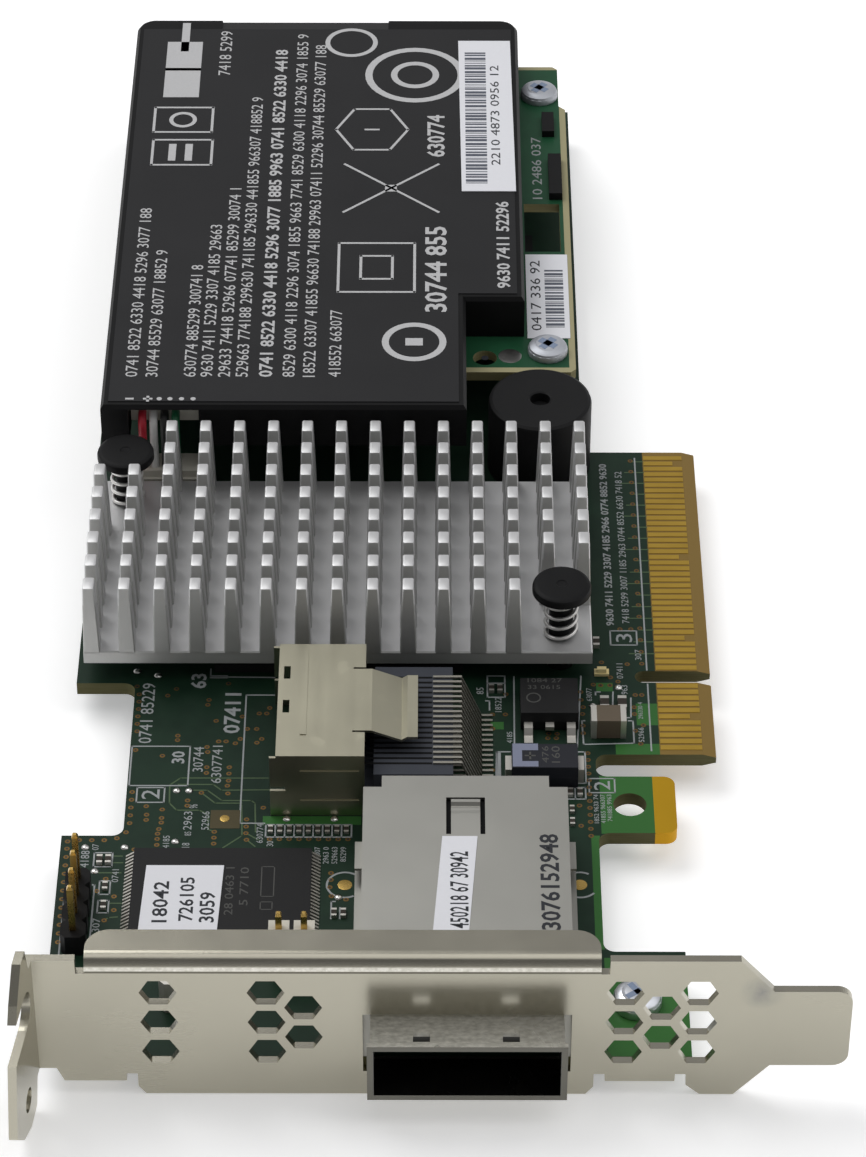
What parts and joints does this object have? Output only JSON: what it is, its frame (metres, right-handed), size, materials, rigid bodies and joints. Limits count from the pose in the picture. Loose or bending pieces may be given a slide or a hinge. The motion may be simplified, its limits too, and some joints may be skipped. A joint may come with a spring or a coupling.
{
  "type": "storage controller card",
  "caption": "Low-profile storage controller card with a heatsink, a cable port through its bracket and a backup battery raised over the board.",
  "frame": {"origin": "middle of the edge connector's key notch, at the tongue's tip, on the board's component face", "axes": "+X out of the edge connector, +Y away from the bracket along the card, +Z out of the component face"},
  "size_m": [0.0816, 0.1792, 0.0217],
  "materials": {
    "board_mask": "green solder mask over copper, satin gloss",
    "deck_mask": "darker green solder mask, satin gloss",
    "gold_plating": "hard gold plating",
    "bracket_steel": "bright nickel plating on folded steel",
    "screw_steel": "bright zinc plating",
    "sink_aluminium": "plain aluminium, etched and clear anodised",
    "chip_package": "black moulded epoxy",
    "thermal_pad": "grey soft pad",
    "push_pin_nylon": "black nylon",
    "spring_steel": "drawn wire",
    "shell_steel": "satin tin plating",
    "cage_steel": "satin nickel plating",
    "housing_plastic": "dark moulded plastic",
    "core_plastic": "black moulded plastic",
    "contact_metal": "tin plating",
    "tantalum_case": "black moulded epoxy with a pale stripe",
    "ceramic_body": "fired ceramic",
    "chip_body": "fired ceramic",
    "lamp_resin": "clear resin",
    "header_plastic": "black moulded plastic",
    "pale_plastic": "pale moulded plastic",
    "buzzer_case": "black moulded plastic",
    "pack_case": "black case, fine grain",
    "pack_print": "black printed film",
    "white_paper": "white label",
    "plug_plastic": "natural nylon",
    "red_sleeve": "soft wire sleeve",
    "white_sleeve": "soft wire sleeve",
    "black_sleeve": "soft wire sleeve",
    "green_sleeve": "soft wire sleeve"
  },
  "bodies": {
    "root": {"circuit_board": "board_mask", "edge_contacts_top": "gold_plating", "edge_contacts_bottom": "gold_plating", "mounting_bracket": "bracket_steel", "bracket_screws": "screw_steel", "processor": "chip_package", "thermal_pad": "thermal_pad", "heatsink": "sink_aluminium", "push_pins": "push_pin_nylon", "push_pin_springs": "spring_steel", "internal_connector_shell": "shell_steel", "internal_connector_housing": "housing_plastic", "internal_connector_contacts": "contact_metal", "external_connector_cage": "cage_steel", "external_connector_core": "core_plastic", "external_connector_contacts": "gold_plating", "flash_memory": "chip_package", "flash_memory_leads": "contact_metal", "voltage_regulator": "chip_package", "voltage_regulator_leads": "contact_metal", "tantalum_capacitor": "tantalum_case", "tantalum_terminals": "contact_metal", "ceramic_capacitor": "ceramic_body", "ceramic_capacitor_ends": "contact_metal", "small_chips": "chip_body", "small_chip_ends": "contact_metal", "status_led": "lamp_resin", "key_header_base": "header_plastic", "crystal_can": "contact_metal", "key_header_pins": "gold_plating", "activity_header_bases": "pale_plastic", "activity_header_pins": "gold_plating", "alarm_buzzer": "buzzer_case", "memory_chips": "chip_package", "link_socket": "header_plastic", "link_plug": "header_plastic", "battery_board": "deck_mask", "battery_board_parts": "header_plastic", "standoffs": "screw_steel", "battery_board_screws": "screw_steel", "battery_pack": "pack_case", "battery_label": "pack_print", "battery_plug": "plug_plastic", "battery_lead_socket": "plug_plastic", "red_wire": "red_sleeve", "white_wire": "white_sleeve", "black_wire": "black_sleeve", "green_wire": "green_sleeve", "flash_label": "white_paper", "port_label": "white_paper", "pack_barcode_label": "white_paper", "deck_barcode_label": "white_paper"}
  },
  "joints": []
}
